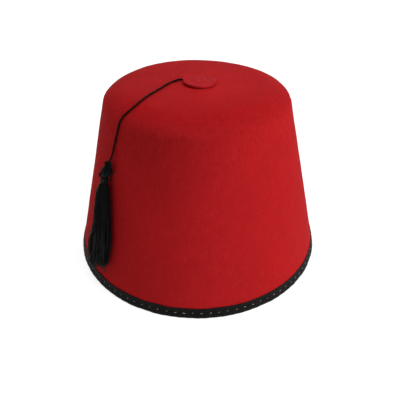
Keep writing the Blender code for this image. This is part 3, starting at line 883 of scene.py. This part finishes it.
rng = np.random.default_rng(51)
line = np.array(HEAD_LINE) * MM
count = 104
down = np.concatenate([np.linspace(-0.25, 11.5, 19), np.linspace(12.3, 14.5, 4)]) * MM
radius = np.interp(down, line[:, 0], line[:, 1])
radius[0] = 0.55 * MM
turns = np.sort((np.arange(count) + rng.uniform(-0.35, 0.35, count)) * TAU / count)
paths, radii = [], []
for i, a in enumerate(turns):
    swing = a + 0.16 * np.sin(down / (7 * MM) + rng.uniform(0, TAU)) * rng.uniform(0.3, 1) \
        + 0.25 * (down / (12 * MM)) * rng.uniform(-0.3, 0.6)
    loose = rng.uniform(-0.35, 0.12) * MM * np.sin(np.clip(down / (11.5 * MM), 0, 1) * math.pi)
    r = radius - 0.22 * MM + loose - 0.35 * MM * smooth(down, 1.5 * MM, 3.5 * MM) * (1 - smooth(down, 6.0 * MM, 8.5 * MM))
    paths.append(in_tassel(r * np.cos(swing) + sway(down), r * np.sin(swing), down))
    radii.append(np.full(len(down), rng.uniform(0.19, 0.26) * MM))
groups = [(np.array(paths), np.array(radii), 6, rng.uniform(0, 1, count) ** 1.5)]
# frayed ends stand out at the top, beside the cord, and like barbs at the
# knot's two sides
sprigs, sprig_radii = [], []
q = np.linspace(0, 1, 7)


def sprig(start, way, bend, length, thick):
    sprigs.append(start + way * (q * length)[:, None] + bend * (q ** 2 * length * 0.4)[:, None])
    sprig_radii.append(np.linspace(1.0, 0.65, 7) * thick)


for i in range(34):
    start = in_tassel(rng.uniform(-0.2, 1.9) * MM, rng.uniform(-0.2, 1.1) * MM, rng.uniform(0.8, 3.0) * MM)
    way = unit(-side * rng.uniform(-0.15, 0.65) + up * rng.uniform(0.15, 0.8) + out * rng.uniform(0.2, 1.1))
    sprig(start, way, up * rng.uniform(-0.3, 0.7) - side * rng.uniform(-0.4, 0.3),
          rng.uniform(1.4, 2.7) * MM, rng.uniform(0.15, 0.20) * MM)
for i in range(18):
    start = in_tassel(rng.uniform(-3.0, -2.2) * MM, rng.uniform(-0.6, 1.9) * MM, rng.uniform(6.0, 8.6) * MM)
    way = unit(-side * rng.uniform(0.25, 0.7) - up * rng.uniform(0.8, 1.4) + out * rng.uniform(0.0, 0.6))
    sprig(start, way, side * rng.uniform(-0.3, 0.4), rng.uniform(1.2, 2.6) * MM, rng.uniform(0.14, 0.19) * MM)
# on the right the sprigs lie low on the felt, partly frayed ends and partly a painted shadow of the knot
for i in range(30):
    start = in_tassel(rng.uniform(2.0, 3.1) * MM, rng.uniform(-2.4, 0.4) * MM, rng.uniform(3.6, 7.4) * MM)
    way = unit(side * rng.uniform(0.5, 1.0) - up * rng.uniform(0.4, 1.2) + out * rng.uniform(-0.3, 0.1))
    sprig(start, way, -up * rng.uniform(0.0, 0.6), rng.uniform(1.4, 3.4) * MM, rng.uniform(0.14, 0.19) * MM)
# one lock of the folded threads has come loose on the left and points down
for i in range(20):
    start = in_tassel(rng.uniform(-1.5, -0.9) * MM, rng.uniform(0.2, 1.3) * MM, rng.uniform(3.0, 6.2) * MM)
    left = rng.uniform(-3.35, -2.1)
    tip = in_tassel(left * MM, rng.uniform(2.2, 3.0) * MM, (12.8 + (left + 3.35) * 1.1 + rng.uniform(-0.3, 0.3)) * MM)
    way = tip - start
    reach = float(np.linalg.norm(way))
    sprig(start, way / reach, out * rng.uniform(-0.05, 0.10), reach * 0.97, rng.uniform(0.18, 0.24) * MM)
for i in range(12):
    a = rng.uniform(-0.6, math.pi * 0.9)
    d = rng.uniform(5.5, 9.5) * MM
    r = np.interp(d, line[:, 0], line[:, 1])
    start = in_tassel(r * math.cos(a), r * math.sin(a), d)
    way = unit(side * math.cos(a) * 0.7 + out * math.sin(a) * 0.7 - up * rng.uniform(0.6, 1.4))
    sprig(start - way * 0.3 * MM, way, 0 * way, rng.uniform(0.8, 1.7) * MM, 0.15 * MM)
# a few dark strands lie on the felt beside the neck, where its shadow falls: painted shade
for i in range(5):
    start = in_tassel((1.8 + 0.36 * i) * MM, -2.9 * MM, rng.uniform(9.0, 12.5) * MM)
    way = unit(side * rng.uniform(0.0, 0.30) - up)
    sprig(start, way, -side * rng.uniform(0.0, 0.4), rng.uniform(3.5, 7.5) * MM, 0.115 * MM)
groups.append((np.array(sprigs), np.array(sprig_radii), 5, rng.uniform(0.2, 1, len(sprigs))))
# the threads that fill the knot
core_line = np.linspace(0.6, 14.5, 16) * MM
core_r = np.maximum(np.interp(core_line, line[:, 0], line[:, 1]) - 0.80 * MM, 0.4 * MM)
core_paths, core_radii = [], []
for k in range(9):
    a = k * TAU / 8
    reach = 0.0 if k == 8 else 0.52
    core_paths.append(in_tassel(core_r * reach * np.cos(a + core_line / (9 * MM)) + sway(core_line),
                                core_r * reach * np.sin(a + core_line / (9 * MM)), core_line))
    core_radii.append(core_r * (0.52 if k < 8 else 0.6))
groups.append((np.array(core_paths), np.array(core_radii), 12, np.zeros(9)))
tassel_knot = thread_piece("tassel_knot", groups, tassel_look)
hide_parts("tassel_head")
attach(tassel_knot, "root")

# ---------------------------------------------------------------- winding
coils = []
turns_n = 10.5
n = 620
q = np.linspace(0, 1, n)
a = q * turns_n * TAU + 0.4
pitch_wave = 0.05 * MM * np.sin(q * turns_n * TAU * 0.37 + 1.2)
d = WRAP_FROM + 0.15 * MM + (WRAP_LONG - 0.3 * MM) * q + pitch_wave
r = WRAP_MIDDLE + 0.03 * MM * np.sin(a * 2.3) - 0.35 * MM * (1 - smooth(np.minimum(q, 1 - q), 0, 0.02))
coils.append(in_tassel(r * np.cos(a), r * np.sin(a), d))
# a second layer goes back up over the first, in a few steep turns
q2 = np.linspace(0, 1, n)
a2 = -q2 * 4.2 * TAU + 1.9
d2 = WRAP_FROM + WRAP_LONG - 0.5 * MM - (WRAP_LONG - 1.0 * MM) * q2
r2 = WRAP_MIDDLE + 0.24 * MM - 0.45 * MM * (1 - smooth(np.minimum(q2, 1 - q2), 0, 0.04))
coils.append(in_tassel(r2 * np.cos(a2), r2 * np.sin(a2), d2))
radii = np.array([np.full(n, 0.205 * MM), np.full(n, 0.16 * MM)])
neck_winding = thread_piece("neck_winding", [(np.array(coils), radii, 8, [0.45, 0.95])], winding_look)
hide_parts("tassel_wrap")
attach(neck_winding, "root")
# three thread ends tucked in at the front of the neck, grey as painted glints
q = np.linspace(0, 1, 9)
ends = []
for start_a, end_a, start_d, end_d in ((0.75, 1.10, 13.0, 14.6), (0.95, 1.25, 14.3, 16.3), (1.20, 0.95, 12.8, 13.8)):
    a = start_a + (end_a - start_a) * q
    r = WRAP_MIDDLE + 0.42 * MM - 0.5 * MM * (1 - smooth(np.minimum(q, 1 - q), 0, 0.2))
    ends.append(in_tassel(r * np.cos(a), r * np.sin(a), (start_d + (end_d - start_d) * q) * MM))
neck_thread_end_glints = thread_piece("neck_thread_end_glints", [(np.array(ends), np.full((3, 9), 0.16 * MM), 7, [0.9, 1.0, 0.6])], glint_look)
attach(neck_thread_end_glints, "root")

# ---------------------------------------------------------------- skirt
rng = np.random.default_rng(61)
sect = np.array(SKIRT_SECTIONS) * MM
# how far down the threads reach, by azimuth (degrees)
TIP_AZIMUTH = np.array([-150.0, -148.0, -146.0, -144.0, -142.0, -140.0, -138.0, -136.5, -135.0, -134.0, -133.0, -131.5, -130.0])
TIP_AT = np.array([175.5, 177.5, 177.5, 177.0, 176.0, 174.0, 173.0, 170.8, 168.7, 168.4, 167.2, 165.8, 164.2])
GAPS = ((-138.7, 0.55, 1.5, 4.0), (-135.1, 0.45, 5.0, 9.5), (-133.1, 0.45, 6.0, 12.0))
LOCKS = 40
lock_rho = np.sqrt((np.arange(LOCKS) + 0.5) / LOCKS)
lock_turn = np.arange(LOCKS) * math.pi * (3 - math.sqrt(5))
lock_turn = lock_turn + rng.normal(0, 0.12, LOCKS)
lock_uv = np.stack([lock_rho * np.cos(lock_turn), lock_rho * np.sin(lock_turn)], -1) * 0.94
THREADS = 520
rho = np.sqrt(rng.uniform(0.10, 1.0, THREADS)) * 0.985
theta = rng.uniform(0, TAU, THREADS)
uv0 = np.stack([rho * np.cos(theta), rho * np.sin(theta)], -1)
own = ((uv0[:, None] - lock_uv[None]) ** 2).sum(-1).argmin(1)
points = 30
lock_swing = rng.normal(0, 1, (LOCKS, 2))
lock_phase = rng.uniform(0, TAU, (LOCKS, 2))
lock_length = rng.normal(0, 1.0, LOCKS) * MM
lock_gather = rng.uniform(0.25, 0.72, LOCKS)
paths, radii, tones = [], [], []
for i in range(THREADS):
    # the thinned dark threads at the right edge are partly a painted shade, the soft shadow beside the tassel
    if uv0[i, 0] > 0.72 and rng.uniform() < 0.5:      # looser on its right
        continue
    k = own[i]
    hem_u = lock_uv[k] + (uv0[i] - lock_uv[k]) * 0.5
    # the tip's distance along the crown's line
    w_hem = np.interp(80 * MM, sect[:, 0], sect[:, 1])
    az_tip = SKIRT_AZIMUTH + math.degrees((hem_u[0] * w_hem + 0.6 * MM) / 0.0905)
    tip = np.interp(az_tip, TIP_AZIMUTH, TIP_AT) * MM + lock_length[k] * 1.5 + rng.normal(0, 1.1) * MM
    if rng.uniform() < 0.36:
        tip -= rng.uniform(1.0, 11.0) * MM
    tip = min(tip, 183.0 * MM)
    start = TASSEL_TOP + 12.6 * MM
    t = np.linspace(0, 1, points) ** 0.92
    s = start + (tip - start) * t
    dn = s - TASSEL_TOP
    width = np.interp(dn, sect[:, 0], sect[:, 1])
    depth = np.interp(dn, sect[:, 0], sect[:, 2])
    lift = np.interp(dn, sect[:, 0], sect[:, 3])
    shift = np.interp(dn, sect[:, 0], sect[:, 4])
    free = smooth(dn, 18 * MM, 62 * MM)
    gather = lock_gather[k] * smooth(dn, 22 * MM, 60 * MM)
    fray = smooth(s, tip - 9 * MM, tip) * 0.55
    uv = (lock_uv[k] + (uv0[i] - lock_uv[k]) * (1 - gather + fray)[:, None])
    across = uv[:, 0] * width
    inward = uv[:, 1] * depth
    run = dn / MM
    across = across + free * 0.55 * MM * lock_swing[k, 0] * np.sin(run / 21.0 * TAU * 0.5 + lock_phase[k, 0])
    inward = inward + free * 0.22 * MM * lock_swing[k, 1] * np.sin(run / 17.0 * TAU * 0.5 + lock_phase[k, 1])
    amp = rng.uniform(0.06, 0.30) * MM
    across = across + smooth(dn, 16 * MM, 30 * MM) * amp * np.sin(run / rng.uniform(9, 22) * TAU + rng.uniform(0, TAU))
    inward = inward + smooth(dn, 16 * MM, 30 * MM) * amp * 0.7 * np.sin(run / rng.uniform(9, 22) * TAU + rng.uniform(0, TAU))
    across = across + rng.normal(0, 0.55) * MM * smooth(s, tip - 11 * MM, tip)
    # the outermost thread line, so that none leaves the tassel's form
    reach = np.hypot(across / (width + 0.35 * MM), inward / (depth + 0.2 * MM))
    press = 1 / np.maximum(reach, 1.0)
    across, inward = across * press, inward * press
    thick = rng.uniform(0.21, 0.30) * MM
    off = np.maximum(lift + inward, thick + 0.22 * MM)
    az_end = SKIRT_AZIMUTH + math.degrees((across[-1] + shift[-1]) / on_line(s)[0][-1, 0])
    for middle, half, least, most in GAPS:                # the hem parts in a few places
        if abs(az_end - middle) < half and rng.uniform() < 0.9:
            kept = np.linspace(s[0], s[-1] - rng.uniform(least, most) * MM, points)
            across, shift, off = (np.interp(kept, s, v) for v in (across, shift, off))
            s = kept
            break
    here = on_line(s)[0][:, 0]
    paths.append(on_crown(s, az + (across + shift) / here, off))
    taper = np.ones(points)
    taper[-1] = 0.55
    radii.append(thick * taper)
    tones.append(rng.uniform(0, 1) ** 1.8)
groups = [(np.array(paths), np.array(radii), 5, tones)]
# stray threads: a thin fan at the lower left, that reaches over the binding,
# a few on the hem, and one long pointed lock
strays, stray_radii = [], []
q = np.linspace(0, 1, 14)


def stray(begin, end, across, inward, thick):
    s = begin + (end - begin) * q
    dn = s - TASSEL_TOP
    lift = np.interp(dn, sect[:, 0], sect[:, 3]) + inward
    across = across + np.interp(dn, sect[:, 0], sect[:, 4])
    strays.append(on_crown(s, az + across / on_line(s)[0][:, 0], np.maximum(lift, 1.10 * MM)))
    stray_radii.append(np.linspace(1.0, 0.7, 14) * thick)


def half_width(begin, end):
    return np.interp(begin + (end - begin) * q - TASSEL_TOP, sect[:, 0], sect[:, 1])


for i in range(84):
    begin = rng.uniform(144, 163) * MM
    end = min(begin + rng.uniform(13, 30) * MM, rng.uniform(174, 182.0) * MM)
    fan = rng.uniform(-0.4, 9.4) * MM * q ** rng.uniform(1.1, 1.9)
    across = -half_width(begin, end) * rng.uniform(0.80, 0.99) - fan
    across = across + rng.uniform(0.1, 0.45) * MM * np.sin(q * rng.uniform(3, 8) + rng.uniform(0, TAU))
    stray(begin, end, across, rng.uniform(-1.6, 0.9) * MM * (1 - 0.7 * q), rng.uniform(0.12, 0.18) * MM)
for i in range(22):
    begin = rng.uniform(152, 164) * MM
    end = begin + rng.uniform(8, 14) * MM
    across = half_width(begin, end) * rng.uniform(-0.9, 0.85) + rng.normal(0, 1.2) * MM * q
    across = across + 0.25 * MM * np.sin(q * rng.uniform(3, 7) + rng.uniform(0, TAU))
    stray(begin, end, across, rng.uniform(2.2, 3.3) * MM * (1 - 0.5 * q), rng.uniform(0.13, 0.18) * MM)
for i in range(9):
    begin, end = rng.uniform(150, 156) * MM, rng.uniform(174.0, 177.0) * MM
    to = (8.6 + 0.5 * rng.normal() * 0.5) * MM
    across = rng.uniform(6.5, 9.5) * MM * (1 - q) + to * q
    stray(begin, end, across, (2.2 * (1 - q) - 0.4) * MM, rng.uniform(0.16, 0.22) * MM)
groups.append((np.array(strays), np.array(stray_radii), 5, rng.uniform(0.0, 1.0, len(strays)) ** 1.6))
tassel_threads = thread_piece("tassel_threads", groups, tassel_look)
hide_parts("tassel_skirt")
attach(tassel_threads, "root")


# ================================================================ studio
floor_look = Nodes("floor_paper")
speck = floor_look.noise(floor_look.coords, 14.0, 2.0)
floor_look.set(Base_Color=floor_look.mix(speck, (0.34, 0.34, 0.34, 1), (0.35, 0.35, 0.35, 1)),
               Emission_Color=(1.0, 1.0, 1.0, 1.0))
floor_look.set(Roughness=0.9, Specular_IOR_Level=0.1, Emission_Strength=0.79)
n = 96
a = np.arange(n) * TAU / n
rings_r = [0.4, 1.2, 4.0]
verts = [(0, 0, 0)] + [(r * math.cos(x), r * math.sin(x), 0) for r in rings_r for x in a]
faces = [(0, 1 + i, 1 + (i + 1) % n) for i in range(n)]
for k in range(len(rings_r) - 1):
    p, q = 1 + k * n, 1 + (k + 1) * n
    faces += [(p + i, q + i, q + (i + 1) % n, p + (i + 1) % n) for i in range(n)]
floor = add_mesh("floor", verts, faces, floor_look.material)

world = bpy.data.worlds.new("studio")
bpy.context.scene.world = world
world.use_nodes = True
tree = world.node_tree
fill = tree.nodes["Background"]                 # what lights the hat from all round
fill.inputs["Color"].default_value = (1.0, 1.0, 1.0, 1.0)
fill.inputs["Strength"].default_value = 0.13
paper = tree.nodes.new("ShaderNodeBackground")  # the white paper behind it
paper.inputs["Color"].default_value = (1.0, 1.0, 1.0, 1.0)
paper.inputs["Strength"].default_value = 0.93
seen = tree.nodes.new("ShaderNodeMixShader")
tree.links.new(tree.nodes.new("ShaderNodeLightPath").outputs["Is Camera Ray"], seen.inputs[0])
tree.links.new(fill.outputs[0], seen.inputs[1])
tree.links.new(paper.outputs[0], seen.inputs[2])
tree.links.new(seen.outputs[0], tree.nodes["World Output"].inputs["Surface"])


def soft_box(name, place, aim, width, height, power):
    light = bpy.data.lights.new(name, "AREA")
    light.shape = "RECTANGLE"
    light.size, light.size_y = width, height
    light.energy = power
    o = bpy.data.objects.new(name, light)
    o.location = place
    o.rotation_euler = (Vector(aim) - Vector(place)).to_track_quat("-Z", "Y").to_euler()
    bpy.context.scene.collection.objects.link(o)
    return o


soft_box("right_box", (0.883, -0.510, 0.472), (0, 0, 0.06), 0.7, 0.7, 9.75)
soft_box("back_box", (0.0, 1.020, 0.472), (0, 0, 0.06), 0.7, 0.7, 4.2)
soft_box("left_box", (-0.674, 0.389, 0.838), (0, 0, 0.06), 0.7, 0.7, 1.95)
soft_box("over_box", (0.038, 0.0, 1.159), (0, 0, 0.06), 0.7, 0.7, 5.3)

bpy.context.scene.view_settings.view_transform = "Standard"
bpy.context.scene.view_settings.look = "None"
bpy.context.scene.view_settings.exposure = 0.0
bpy.context.scene.view_settings.gamma = 1.0
